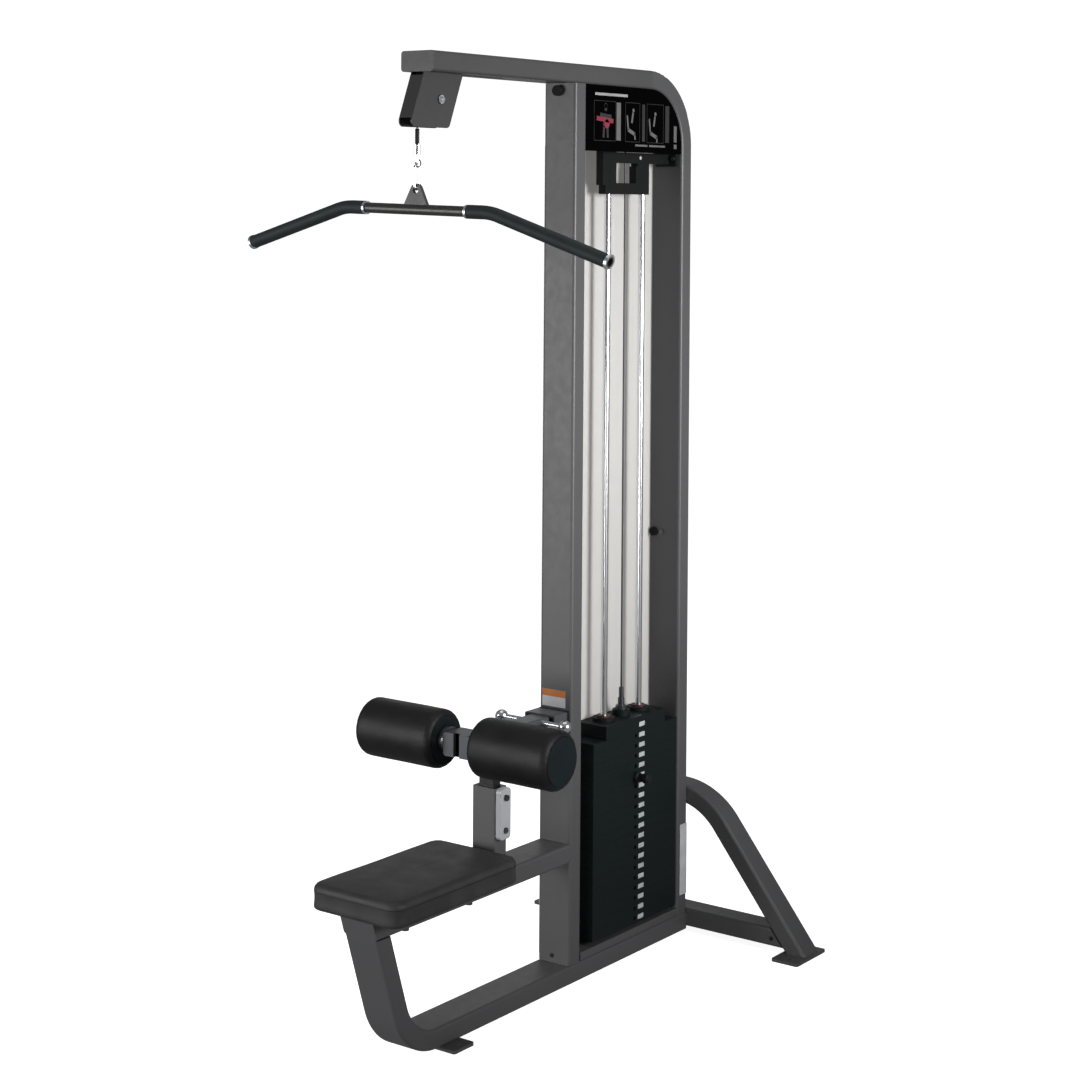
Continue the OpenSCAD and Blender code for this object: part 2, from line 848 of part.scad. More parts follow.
module swivel_eye() {
    color("silver") difference() {
        union() {
            rod_z(3.2, eye_z + eye_hole_r + 1, swivel_low + 11, 0, drop_y);
            rod_z(4.7, swivel_low + 10.3, swivel_low + 16.5, 0, drop_y);
            translate([0, drop_y, eye_z]) rotate([90, 0, 0])
                cylinder(r = eye_r, h = 7, center = true);
        }
        translate([0, drop_y, eye_z - 1]) rotate([90, 0, 0])
            cylinder(r = eye_hole_r, h = 9, center = true);
    }
}

// Half of the carabiner's oval, as an arc in the YZ plane.
module hook_arc(z, a) {
    translate([0, drop_y, z]) rotate([0, 90, 0]) rotate([0, 0, a])
        rotate_extrude(angle = 180, $fn = 64) translate([hook_r, 0]) circle(hook_wire, $fn = 24);
}

module carabiner_hook() {
    color("silver") {
        hook_arc(hook_up, 90);
        hook_arc(hook_down, -90);
        rod_z(hook_wire, hook_down, hook_up, 0, drop_y - hook_r);
    }
}

module carabiner_gate() {
    foot = hook_down + hook_wire + 0.4;
    color("silver") difference() {
        union() {
            rod_z(hook_wire, foot, hook_up - 1.5, 0, drop_y + hook_r);
            translate([0, drop_y + hook_r, foot]) sphere(hook_wire, $fn = 32);
        }
        rod_x(1, -hook_wire - 1, hook_wire + 1, drop_y + hook_r, foot);
    }
}

// Places the bar: its own x runs along it and its tube's middle is at 0.
module hang() {
    translate([0, drop_y, hanger_hole_z]) rotate([0, bar_tilt, 0])
        translate([0, 0, bar_z - hanger_hole_z]) children();
}

module annulus(r, bore) {
    difference() {
        circle(r);
        if (bore > 0) circle(bore);
    }
}

// The bar's elbow and slope on one side, cut short of its end. The elbow is
// a hair thinner than the straights and runs into both of them.
module elbow_and_slope(r, bore, cut) {
    translate([straight_x, 0, -elbow_r]) rotate([90, 0, 0]) rotate([0, 0, 90 - bar_bend - lap])
        rotate_extrude(angle = bar_bend + 2 * lap, $fn = 128)
        translate([elbow_r, 0]) annulus(r - skin, bore + skin);
    translate([elbow_x, 0, 0]) rotate([0, bar_bend, 0]) translate([elbow_t, 0, 0])
        rotate([90, 0, 90]) linear_extrude(slope_l - cut) annulus(r, bore);
}

module both_sides() {
    for (a = [0, 180]) rotate([bar_lean, 0, 0]) rotate([0, 0, a]) children();
}

module bar_tube() {
    bore = bar_d / 2 - 3;
    color("dimgray") hang() {
        rotate([90, 0, 90]) linear_extrude(2 * straight_x, center = true) annulus(bar_d / 2, bore);
        both_sides() elbow_and_slope(bar_d / 2, bore, 0);
    }
}

module bar_grips() {
    color("black") hang() both_sides() {
        translate([grip_x, 0, 0]) rotate([90, 0, 90]) linear_extrude(straight_x - grip_x)
            annulus(grip_d / 2, bar_d / 2);
        elbow_and_slope(grip_d / 2, bar_d / 2, end_collar);
    }
}

module bar_collars() {
    color("silver") hang() both_sides() {
        difference() {
            translate([grip_x - 6, 0, 0]) rotate([0, 90, 0]) cylinder(r = grip_d / 2, h = 6);
            translate([grip_x - 7, 0, 0]) rotate([0, 90, 0]) cylinder(r = bar_d / 2, h = 8);
        }
        translate([elbow_x, 0, 0]) rotate([0, bar_bend, 0])
            translate([elbow_t + slope_l - end_collar, 0, 0]) rotate([0, 90, 0]) difference() {
                cylinder(r = grip_d / 2 + 1.5, h = end_collar);
                translate([0, 0, -1]) cylinder(r = bar_d / 2, h = end_collar + 2);
            }
    }
}

module bar_hanger() {
    top = hanger_hole_z - bar_z;
    color("dimgray") hang() difference() {
        rotate([90, 0, 0]) linear_extrude(10, center = true) {
            polygon([[-36, 0], [36, 0], [36, 10], [15, top + 5], [-15, top + 5], [-36, 10]]);
            translate([0, top - 1]) circle(16);
        }
        rotate([0, 90, 0]) cylinder(r = bar_d / 2, h = 100, center = true);
        translate([0, 0, top]) rotate([90, 0, 0]) cylinder(r = 8.5, h = 12, center = true);
    }
}

base_beam();
front_leg();
seat_beam();
front_upright();
rear_upright();
top_arm();
stabiliser_crown();
stabiliser_legs();
stabiliser_crossbeam();
foot_plates();
pulley_housing();
pulley_axles();
rear_pulley_hangers();
cable_over_pulleys();
cable_front_drop();
cable_rear_drop();
guide_rods();
rod_bracket();
frame_bolts();
back_shield();
rubber_bumpers();
placard();
stack_base();
stack_cushions();
resting_plates();
seat_board();
seat_pad();
post_sleeve();
sleeve_bush();
lock_block();
front_pulley_wheel();  // front_pulley
front_bearing();
rear_pulley_wheel();  // rear_pulley
rear_bearing();
selector_head();
selector_stem();
head_bushes();
lifted_plates();
cable_terminal();
pin_shaft();
pin_knob();
lock_pin();
inner_post();
post_glide();
carriage_arm();
guide_shoe();
roller_axle();
lift_handle();
roller_pad(-1);  // roller_pad_left
roller_core(-1);  // roller_core_left
roller_pad(1);  // roller_pad_right
roller_core(1);  // roller_core_right
swivel_housing();
swivel_eye();
carabiner_hook();
carabiner_gate();
bar_hanger();
bar_tube();
bar_grips();
bar_collars();
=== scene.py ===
"""Looks of the lat pulldown machine: materials, upholstery, cable, print and light."""
import json
import math

import bmesh
import bpy
from mathutils import Matrix, Vector, noise


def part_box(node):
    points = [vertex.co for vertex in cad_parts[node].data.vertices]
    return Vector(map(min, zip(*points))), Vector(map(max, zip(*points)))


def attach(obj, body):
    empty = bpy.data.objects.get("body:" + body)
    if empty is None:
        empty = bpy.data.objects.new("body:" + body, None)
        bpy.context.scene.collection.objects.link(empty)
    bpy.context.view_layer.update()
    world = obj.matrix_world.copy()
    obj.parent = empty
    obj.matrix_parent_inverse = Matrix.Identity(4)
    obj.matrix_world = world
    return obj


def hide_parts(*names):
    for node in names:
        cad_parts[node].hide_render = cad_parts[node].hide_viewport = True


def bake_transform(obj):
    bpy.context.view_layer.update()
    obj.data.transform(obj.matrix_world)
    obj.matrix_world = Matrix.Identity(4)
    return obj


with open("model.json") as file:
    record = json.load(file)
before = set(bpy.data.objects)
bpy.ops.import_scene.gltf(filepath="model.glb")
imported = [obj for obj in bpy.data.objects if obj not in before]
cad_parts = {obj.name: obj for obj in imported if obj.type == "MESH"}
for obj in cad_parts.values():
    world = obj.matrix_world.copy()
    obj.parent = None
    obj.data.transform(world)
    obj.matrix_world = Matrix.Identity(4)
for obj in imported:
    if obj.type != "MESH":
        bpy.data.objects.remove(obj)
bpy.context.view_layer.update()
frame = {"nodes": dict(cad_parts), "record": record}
NODES = frame["nodes"]
MM = 0.001


# ---- places, all read from the frame ----

def low(node):
    return Vector(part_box(node)[0])


def high(node):
    return Vector(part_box(node)[1])


def middle(node):
    return (low(node) + high(node)) / 2


# ---- materials ----

def principled(name, color, rough, metallic=0.0, specular=0.5, coat=0.0):
    mat = bpy.data.materials.new(name)
    mat.use_nodes = True
    shader = mat.node_tree.nodes["Principled BSDF"]
    shader.inputs["Base Color"].default_value = (*color, 1)
    shader.inputs["Roughness"].default_value = rough
    shader.inputs["Metallic"].default_value = metallic
    shader.inputs["Specular IOR Level"].default_value = specular
    shader.inputs["Coat Weight"].default_value = coat
    shader.inputs["Coat Roughness"].default_value = 0.2
    return mat, mat.node_tree, shader


def object_coords(tree, scale=(1, 1, 1)):
    coords = tree.nodes.new("ShaderNodeTexCoord")
    mapping = tree.nodes.new("ShaderNodeMapping")
    mapping.inputs["Scale"].default_value = scale
    tree.links.new(coords.outputs["Object"], mapping.inputs["Vector"])
    return mapping.outputs["Vector"]


def noise_node(tree, vector, scale, detail=3.0):
    node = tree.nodes.new("ShaderNodeTexNoise")
    node.inputs["Scale"].default_value = scale
    node.inputs["Detail"].default_value = detail
    tree.links.new(vector, node.inputs["Vector"])
    return node.outputs["Fac"]


def remap(tree, value, low_out, high_out, low_in=0.3, high_in=0.7):
    node = tree.nodes.new("ShaderNodeMapRange")
    node.inputs["From Min"].default_value = low_in
    node.inputs["From Max"].default_value = high_in
    node.inputs["To Min"].default_value = low_out
    node.inputs["To Max"].default_value = high_out
    tree.links.new(value, node.inputs["Value"])
    return node.outputs["Result"]


def tint(tree, shader, value, dark, light):
    node = tree.nodes.new("ShaderNodeMix")
    node.data_type = "RGBA"
    node.inputs["A"].default_value = (*dark, 1)
    node.inputs["B"].default_value = (*light, 1)
    tree.links.new(value, node.inputs["Factor"])
    tree.links.new(node.outputs["Result"], shader.inputs["Base Color"])


def bump(tree, shader, value, depth, strength=1.0):
    node = tree.nodes.new("ShaderNodeBump")
    node.inputs["Distance"].default_value = depth
    node.inputs["Strength"].default_value = strength
    tree.links.new(value, node.inputs["Height"])
    tree.links.new(node.outputs["Normal"], shader.inputs["Normal"])


def shade(color, factor):
    return tuple(min(1.0, c * factor) for c in color)


def painted(name, color, rough=0.45, specular=0.45, grain=900):
    """Powder coat: a fine orange peel and faint cloudy changes of tone."""
    mat, tree, shader = principled(name, color, rough, specular=specular)
    place = object_coords(tree)
    cloud = noise_node(tree, place, 4, 4)
    tint(tree, shader, remap(tree, cloud, 0, 1), shade(color, 0.97), shade(color, 1.03))
    scuffs = noise_node(tree, place, 45, 6)
    tree.links.new(remap(tree, scuffs, rough - 0.02, rough + 0.04), shader.inputs["Roughness"])
    bump(tree, shader, noise_node(tree, place, grain, 2), 0.00012, 0.35)
    return mat


def leather(name, color, rough=0.46, specular=0.35):
    """Upholstery vinyl: pebbled grain with soft cloudy changes of tone and gloss."""
    mat, tree, shader = principled(name, color, rough, specular=specular)
    place = object_coords(tree)
    cells = tree.nodes.new("ShaderNodeTexVoronoi")
    cells.feature = "DISTANCE_TO_EDGE"
    cells.inputs["Scale"].default_value = 520
    tree.links.new(place, cells.inputs["Vector"])
    cloud = noise_node(tree, place, 18, 5)
    tint(tree, shader, remap(tree, cloud, 0, 1), shade(color, 0.82), shade(color, 1.2))
    tree.links.new(remap(tree, cloud, rough - 0.06, rough + 0.08), shader.inputs["Roughness"])
    bump(tree, shader, remap(tree, cells.outputs["Distance"], 0, 1, 0, 0.25), 0.00022, 0.5)
    return mat


def metal(name, color, rough, brushed=(1, 1, 1), grain=300, depth=0.00002):
    mat, tree, shader = principled(name, color, rough, metallic=1.0)
    place = object_coords(tree, brushed)
    streaks = noise_node(tree, place, grain, 4)
    tree.links.new(remap(tree, streaks, rough * 0.75, rough * 1.35), shader.inputs["Roughness"])
    tint(tree, shader, remap(tree, streaks, 0, 1), shade(color, 0.93), shade(color, 1.04))
    bump(tree, shader, streaks, depth, 0.4)
    return mat


def plastic(name, color, rough=0.5, specular=0.4, grain=1500, depth=0.00006):
    mat, tree, shader = principled(name, color, rough, specular=specular)
    place = object_coords(tree)
    cloud = noise_node(tree, place, 30, 3)
    tint(tree, shader, remap(tree, cloud, 0, 1), shade(color, 0.9), shade(color, 1.1))
    tree.links.new(remap(tree, cloud, rough - 0.04, rough + 0.06), shader.inputs["Roughness"])
    bump(tree, shader, noise_node(tree, place, grain, 2), depth, 0.5)
    return mat


def knurled(name, color):
    """Moulded grip rubber with a fine diamond texture."""
    mat, tree, shader = principled(name, color, 0.62, specular=0.3)
    place = object_coords(tree)
    waves = []
    for turn in (35, -35):
        spin = tree.nodes.new("ShaderNodeMapping")
        spin.inputs["Rotation"].default_value = (0, math.radians(turn), 0)
        tree.links.new(place, spin.inputs["Vector"])
        wave = tree.nodes.new("ShaderNodeTexWave")
        wave.inputs["Scale"].default_value = 110
        tree.links.new(spin.outputs["Vector"], wave.inputs["Vector"])
        waves.append(wave.outputs["Fac"])
    both = tree.nodes.new("ShaderNodeMath")
    both.operation = "MULTIPLY"
    for socket, wave in zip(both.inputs, waves):
        tree.links.new(wave, socket)
    cloud = noise_node(tree, place, 25, 4)
    tint(tree, shader, remap(tree, cloud, 0, 1), shade(color, 0.85), shade(color, 1.2))
    bump(tree, shader, both.outputs[0], 0.0003, 0.6)
    return mat


def glowing_translucent(name, color):
    """The far shield: a thin milky sheet that lets light through, with a painted glow from its
    emission.
    """
    mat, tree, shader = principled(name, color, 0.35, specular=0.3)
    shader.inputs["Subsurface Weight"].default_value = 0.3
    shader.inputs["Subsurface Radius"].default_value = (0.01, 0.01, 0.01)
    # painted glow: the sheet emits its own colour, as if lit, though it is no lamp
    shader.inputs["Emission Color"].default_value = (*color, 1)
    shader.inputs["Emission Strength"].default_value = 0.4
    place = object_coords(tree)
    cloud = noise_node(tree, place, 1.3, 2)
    tint(tree, shader, remap(tree, cloud, 0, 1), shade(color, 0.97), shade(color, 1.02))
    tree.links.new(remap(tree, noise_node(tree, place, 80, 3), 0.3, 0.42), shader.inputs["Roughness"])
    bump(tree, shader, noise_node(tree, place, 700, 2), 0.00004, 0.3)
    return mat


FRAME_GREY = (0.055, 0.055, 0.057)
MATS = {
    "frame_paint": painted("frame_paint", FRAME_GREY),
    "plate_paint": painted("plate_paint", (0.0042, 0.0075, 0.0073), 0.55, 0.12, 500),
    "black_paint": painted("black_paint", (0.0045, 0.0055, 0.0055), 0.45, 0.15),
    "hub_paint": painted("hub_paint", (0.045, 0.049, 0.056), 0.4, 0.4),
    "chrome": metal("chrome", (0.78, 0.79, 0.8), 0.2, (8, 8, 1)),
    "steel": metal("steel", (0.55, 0.56, 0.57), 0.34),
    "vinyl": leather("vinyl", (0.0062, 0.0062, 0.0066), specular=0.2),
    "board": painted("board", (0.35, 0.22, 0.11), 0.6, 0.3, 200),
    "grip_rubber": knurled("grip_rubber", (0.010, 0.016, 0.017)),
    "black_rubber": plastic("black_rubber", (0.005, 0.005, 0.005), 0.6, 0.12),
    "black_plastic": plastic("black_plastic", (0.006, 0.006, 0.0065), 0.45, 0.2),
    "cap_plastic": plastic("cap_plastic", (0.005, 0.0085, 0.0095), 0.5, 0.12),
    "shield_plastic": glowing_translucent("shield_plastic", (0.32, 0.315, 0.305)),
    "placard_board": plastic("placard_board", (0.0012, 0.0012, 0.0013), 0.55, 0.0),
    "pulley_plastic": plastic("pulley_plastic", (0.01, 0.01, 0.01), 0.42),
    "bush_plastic": plastic("bush_plastic", (0.05, 0.012, 0.014), 0.5),
    "cable_coat": plastic("cable_coat", (0.03, 0.03, 0.032), 0.4),
}
# painted light: the seat gets a lighter copy of the rollers' vinyl, standing in for the bright
# reflection on its top
SEAT_VINYL_PAINTED_LIGHT = leather("vinyl_seat_painted_light", (0.025, 0.025, 0.0255), 0.5, 0.22)
PRINTS = {
    "print_light": plastic("print_light", (0.24, 0.24, 0.235), 0.5),
    "print_mid": plastic("print_mid", (0.085, 0.085, 0.085), 0.5),
    "print_dark": plastic("print_dark", (0.014, 0.014, 0.014), 0.5),
    "print_red": plastic("print_red", (0.16, 0.012, 0.03), 0.5),
    "sticker_white": plastic("sticker_white", (0.5, 0.5, 0.51), 0.45),
    "sticker_orange": plastic("sticker_orange", (0.42, 0.13, 0.02), 0.45),
    "tab_white": plastic("tab_white", (0.36, 0.38, 0.38), 0.45),
}

# nodes whose paint differs from the rest of their slot
OWN_PAINT = {
    "frame_bolts": metal("dark_bolts", (0.12, 0.12, 0.125), 0.4),
    "lock_block": painted("zinc_block", (0.3, 0.305, 0.32), 0.35),
    "lock_pin": metal("dark_pin", (0.08, 0.08, 0.085), 0.4),
    "inner_post": painted("post_black", (0.008, 0.008, 0.008), 0.3, 0.4),
    "cable_terminal": metal("dark_terminal", (0.1, 0.105, 0.11), 0.35),
    "pulley_housing": painted("housing_paint", (0.03, 0.03, 0.031)),
    "bar_tube": painted("bar_paint", (0.024, 0.0235, 0.022), 0.38),
    "bar_hanger": painted("tab_paint", (0.03, 0.03, 0.03)),
    # painted shade: the top arm gets a darker copy of the frame paint, standing in for the dimmer
    # light up there
    "top_arm": painted("arm_paint_painted_shade", (0.046, 0.046, 0.047)),
}
SLOT_OF = {s["node"]: s["material_slot"] for s in frame["record"]["subparts"]}
for node_name, node_object in NODES.items():
    node_object.data.materials.clear()
    node_object.data.materials.append(OWN_PAINT.get(node_name) or MATS[SLOT_OF[node_name]])


# ---- mesh helpers ----

def add(name, mesh, material, body, smooth=True):
    piece = bpy.data.objects.new(name, mesh)
    bpy.context.scene.collection.objects.link(piece)
    mesh.materials.append(material)
    for polygon in mesh.polygons:
        polygon.use_smooth = smooth
    if body:
        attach(piece, body)
    return piece


def from_bmesh(bm, name):
    bmesh.ops.recalc_face_normals(bm, faces=bm.faces)
    mesh = bpy.data.meshes.new(name)
    bm.to_mesh(mesh)
    bm.free()
    return mesh


def rounded_block(name, lo, hi, radius, segments=3):
    """A box with all its edges rounded."""
    bm = bmesh.new()
    bmesh.ops.create_cube(bm, size=1)
    lo, hi = Vector(lo), Vector(hi)
    for v in bm.verts:
        v.co = Vector((lo[i] + (v.co[i] + 0.5) * (hi[i] - lo[i])) for i in range(3))
    if radius:
        bmesh.ops.bevel(bm, geom=bm.edges[:], offset=radius, segments=segments,
                        affect="EDGES", profile=0.5)
    return from_bmesh(bm, name)


def lathe(name, profile, origin, axis, sides=64, closed=False):
    """Turns (radius, distance) points about an axis through origin."""
    axis = Vector(axis).normalized()
    side = axis.orthogonal().normalized()
    other = axis.cross(side)
    bm = bmesh.new()
    rings = []
    for radius, along in profile:
        centre = Vector(origin) + axis * along
        if radius < 1e-6:
            rings.append([bm.verts.new(centre)])
            continue
        ring = []
        for k in range(sides):
            a = 2 * math.pi * k / sides
            ring.append(bm.verts.new(centre + radius * (math.cos(a) * side + math.sin(a) * other)))
        rings.append(ring)
    pairs = list(zip(rings, rings[1:]))
    if closed:
        pairs.append((rings[-1], rings[0]))
    for a, b in pairs:
        for k in range(sides):
            n = (k + 1) % sides
            if len(a) == 1:
                bm.faces.new((a[0], b[n], b[k]))
            elif len(b) == 1:
                bm.faces.new((a[k], a[n], b[0]))
            else:
                bm.faces.new((a[k], a[n], b[n], b[k]))
    return from_bmesh(bm, name)


def sweep(name, points, radius, sides=16):
    """A round tube along a list of points, with closed ends."""
    bm = bmesh.new()
    rings = []
    side = None
    for i, p in enumerate(points):
        ahead = points[min(i + 1, len(points) - 1)] - points[max(i - 1, 0)]
        ahead.normalize()
        side = ahead.orthogonal() if side is None else side - ahead * side.dot(ahead)
        side.normalize()
        other = ahead.cross(side)
        rings.append([bm.verts.new(p + radius * (math.cos(a) * side + math.sin(a) * other))
                      for a in (2 * math.pi * k / sides for k in range(sides))])
    for a, b in zip(rings, rings[1:]):
        for k in range(sides):
            n = (k + 1) % sides
            bm.faces.new((a[k], a[n], b[n], b[k]))
    bm.faces.new(rings[0])
    bm.faces.new(rings[-1])
    return from_bmesh(bm, name)


# ---- upholstery ----

SEAT_CORNER = 34 * MM       # radius of the seat's corners, seen from above
SEAT_EDGE = 17 * MM         # radius of its upper edge
SEAT_CROWN = 5.2 * MM       # how far its middle stands above that edge
ROLLER_EDGE = 19 * MM       # radius of a roller's shoulders
ROLLER_HOLE = 59.4 * MM     # the end opening, round the core's cap
ROLLER_BORE = 31 * MM       # the bore inside, round the core


def seat_outline(half_x, half_y, corner, steps=10):
    """A rectangle with round corners, as (x, y) points about its middle."""
    points = []
    for quarter, (sx, sy) in enumerate(((1, 1), (-1, 1), (-1, -1), (1, -1))):
        for k in range(steps + 1):
            a = math.radians(90 * quarter + 90 * k / steps)
            points.append((sx * (half_x - corner) + corner * math.cos(a),
                           sy * (half_y - corner) + corner * math.sin(a)))
    return points


def resample(points, count):
    """count points at equal distances round a closed outline."""
    loop = [Vector(p) for p in points] + [Vector(points[0])]
    total = sum((b - a).length for a, b in zip(loop, loop[1:]))
    result = []
    step, want, run = total / count, 0.0, 0.0
    for a, b in zip(loop, loop[1:]):
        length = (b - a).length
        while length and want < run + length - 1e-9 and len(result) < count:
            result.append(a.lerp(b, (want - run) / length))
            want += step
        run += length
    return result


def seat_pad():
    lo, hi = low("seat_pad"), high("seat_pad")
    centre = (lo + hi) / 2
    half = (hi - lo) / 2
    height = hi.z - lo.z
    edge = SEAT_EDGE
    # (inset, height) rings from the middle of the underside, round the sides, to the crown
    rings = [(share * half.x, 0.0) for share in (0.96, 0.3, 0.06)]
    foot = 8 * MM
    rings += [(4 * MM, 0.0), (0.8 * MM, 2.5 * MM), (0.0, foot)]
    wall = height - edge - 6 * MM
    for k in range(1, 5):
        t = k / 5
        rings.append((1.1 * MM * math.sin(math.pi * t), foot + (wall - foot) * t))
    for k in range(9):
        a = math.radians(90 * k / 8)
        rings.append((edge * (1 - math.cos(a)), wall + edge * math.sin(a)))
    for k in range(1, 13):
        t = k / 12
        inset = edge + (half.x - edge) * t * 0.985
        rings.append((inset, wall + edge + SEAT_CROWN * math.sin(t * math.pi / 2) ** 0.8))
    bm = bmesh.new()
    count = 144
    loops = []
    for inset, z in rings:
        r = max(SEAT_CORNER - inset, 3 * MM * min(1, (half.x - inset) / half.x + 0.05))
        hx, hy = half.x - inset, half.y - inset
        r = min(r, hx * 0.98)
        outline = resample(seat_outline(hx, hy, r), count)
        loops.append([bm.verts.new((centre.x + p[0], centre.y + p[1], lo.z + z)) for p in outline])
    for a, b in zip(loops, loops[1:]):
        for k in range(count):
            n = (k + 1) % count
            bm.faces.new((a[k], a[n], b[n], b[k]))
    bm.faces.new(loops[0])
    bm.faces.new(loops[-1])
    bmesh.ops.triangulate(bm, faces=[f for f in bm.faces if len(f.verts) > 4])
    mesh = from_bmesh(bm, "seat_cushion")
    # the cover's slight unevenness
    for vertex in mesh.vertices:
        p = vertex.co
        rise = (p.z - lo.z) / height
        if rise > 0.12:
            dimple = noise.noise(Vector((p.x * 9, p.y * 7, 3)))
            p.z += 1.0 * MM * dimple * rise
    piece = add("seat_cushion", mesh, SEAT_VINYL_PAINTED_LIGHT, "frame")
    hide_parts("seat_pad")


def seat_seam():
    """The boxing seam that runs round the cushion just under its top edge."""
    lo, hi = low("seat_pad"), high("seat_pad")
    centre = (lo + hi) / 2
    half = (hi - lo) / 2
    inset = 1.3 * MM
    corner = SEAT_CORNER - 1 * MM
    outline = resample(seat_outline(half.x - inset, half.y - inset, corner), 180)
    height = hi.z - 25 * MM
    points = [Vector((centre.x + p[0], centre.y + p[1], height)) for p in outline]
    points.append(points[0].copy())
    add("seat_welt", sweep("seat_welt", points, 1.6 * MM, 10), MATS["vinyl"], "frame")


def roller_cover(side_name, sign):
    """A foam roller's vinyl cover: round shoulders, open ends, faint ripples near them."""
    node = "roller_pad_" + side_name
    lo, hi = low(node), high(node)
    centre = (lo + hi) / 2
    radius = (hi.z - lo.z) / 2
    length = hi.x - lo.x
    inner = lo.x if sign > 0 else hi.x
    edge = ROLLER_EDGE
    hole = ROLLER_HOLE
    profile = [(hole, 5 * MM), (hole, 1.2 * MM), (hole + 1.2 * MM, 0.2 * MM)]
    for k in range(9):
        a = math.radians(90 * k / 8)
        profile.append((radius - edge + edge * math.sin(a), edge * (1 - math.cos(a))))
    profile = [p for p in profile if p[0] >= hole - 1e-6]
    shoulder = len(profile)
    for k in range(1, 24):
        profile.append((radius, edge + (length - 2 * edge) * k / 24))
    profile += [(r, length - d) for r, d in reversed(profile[:shoulder])]
    profile += [(ROLLER_BORE, length - 5 * MM), (ROLLER_BORE, 5 * MM)]
    origin = (inner, centre.y, centre.z)
    mesh = lathe("roller_" + side_name, profile, origin, (sign, 0, 0), 96, True)
    for vertex in mesh.vertices:
        p = vertex.co
        out = Vector((0, p.y - centre.y, p.z - centre.z))
        if out.length > 50 * MM:
            along = abs(p.x - inner)
            round_angle = math.atan2(out.z, out.y)
            place = Vector((along * 14, math.cos(round_angle) * 2, math.sin(round_angle) * 2))
            wave = noise.noise(place)
            pucker = math.exp(-((along - length / 2) / (length * 0.46)) ** 8)
            ripple = math.sin(round_angle * 26 + 2 * wave) * (1 - pucker) * 0.35
            p += out.normalized() * MM * (0.5 * wave - 0.5 + ripple)
    piece = add("roller_cover_" + side_name, mesh, MATS["vinyl"], "roller_" + side_name)
    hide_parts(node)


# ---- cable, sleeve and small hardware ----

def cable_drop(name, node):
    """A straight run of cable that stretches between the frame and a moving body."""
    lo, hi = low(node), high(node)
    mid = (lo + hi) / 2
    radius = (hi.x - lo.x) / 2
    count = 40
    points = [Vector((mid.x, mid.y, lo.z + (hi.z - lo.z) * k / count)) for k in range(count + 1)]
    piece = add(name, sweep(name, points, radius, 16), MATS["cable_coat"], None)
    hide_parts(node)
    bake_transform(piece)


def cable_sleeve():
    """The dark crimped sleeve that holds the cable in its swivel."""
    lo, hi = low("swivel_housing"), high("swivel_housing")
    centre = middle("swivel_housing")
    neck = 4.55 * MM
    base = lo.z + 25.2 * MM
    top = hi.z + 1.2 * MM
    profile = [(neck, base), (5.3 * MM, base + 0.4 * MM)]
    for k in range(1, 6):
        z = base + (top - base) * k / 6
        profile += [(5.3 * MM, z - 2 * MM), (4.9 * MM, z), (5.3 * MM, z + 2 * MM)]
    profile += [(5.2 * MM, top - 1 * MM), (4.2 * MM, top), (2.5 * MM, top)]
    mesh = lathe("cable_sleeve", profile, (centre.x, centre.y, 0), (0, 0, 1), 32)
    add("cable_sleeve", mesh, MATS["black_plastic"], "connector")


def disc(name, origin, axis, radius, thickness, material, body, dome=0.25):
    """A flat button with a softly domed face."""
    edge = min(thickness * 0.4, radius * 0.2)
    profile = [(0, 0), (radius, 0), (radius, thickness - edge)]
    for k in range(1, 5):
        a = math.radians(90 * k / 4)
        profile.append((radius - edge * (1 - math.cos(a)), thickness - edge * (1 - math.sin(a))))
    profile.append((0, thickness * (1 + dome)))
    mesh = lathe(name, profile, origin, axis, 32)
    return add(name, mesh, material, body)


def bolt(name, origin, axis, radius, body, head=0.55):
    """A hexagon bolt head on a washer."""
    axis = Vector(axis).normalized()
    washer = [(0, 0), (radius * 1.25, 0), (radius * 1.25, radius * 0.18), (0, radius * 0.18)]
    add(name + "_washer", lathe(name + "_washer", washer, origin, axis, 32),
        MATS["steel"], body, False)
    start = Vector(origin) + axis * radius * 0.18
    hexagon = [(0, 0), (radius, 0), (radius, radius * head * 0.85),
               (radius * 0.86, radius * head), (0, radius * head)]
    add(name + "_head", lathe(name + "_head", hexagon, start, axis, 6),
        MATS["steel"], body, False)


# ---- print and labels ----

def card(name, plane, y0, y1, z0, z1, material, body, thick=0.25 * MM, radius=0.0):
    """A thin printed patch that stands on the plane x = plane and faces +X."""
    mesh = rounded_block(name, (plane, y0, z0), (plane + thick, y1, z1), radius, 2)
    return add(name, mesh, material, body, False)


def stroke(bm, plane, a, b, width, thick=0.3 * MM):
    """One straight brush stroke on the placard, from a to b as (y, z)."""
    a, b = Vector(a), Vector(b)
    along = (b - a).normalized()
    side = Vector((-along.y, along.x)) * width / 2
    corners = [a + side, b + side, b - side, a - side]
    front = [bm.verts.new((plane + thick, c.x, c.y)) for c in corners]
    back = [bm.verts.new((plane, c.x, c.y)) for c in corners]
    bm.faces.new(front)
    bm.faces.new(back)
    for k in range(4):
        n = (k + 1) % 4
        bm.faces.new((front[k], front[n], back[n], back[k]))


def blob(bm, plane, centre, radius, thick=0.3 * MM, sides=20):
    """One round spot on the placard."""
    ring_front, ring_back = [], []
    for k in range(sides):
        a = 2 * math.pi * k / sides
        y, z = centre[0] + radius * math.cos(a), centre[1] + radius * math.sin(a)
        ring_front.append(bm.verts.new((plane + thick, y, z)))
        ring_back.append(bm.verts.new((plane, y, z)))
    bm.faces.new(ring_front)
    bm.faces.new(ring_back)
    for k in range(sides):
        n = (k + 1) % sides
        bm.faces.new((ring_front[k], ring_front[n], ring_back[n], ring_back[k]))


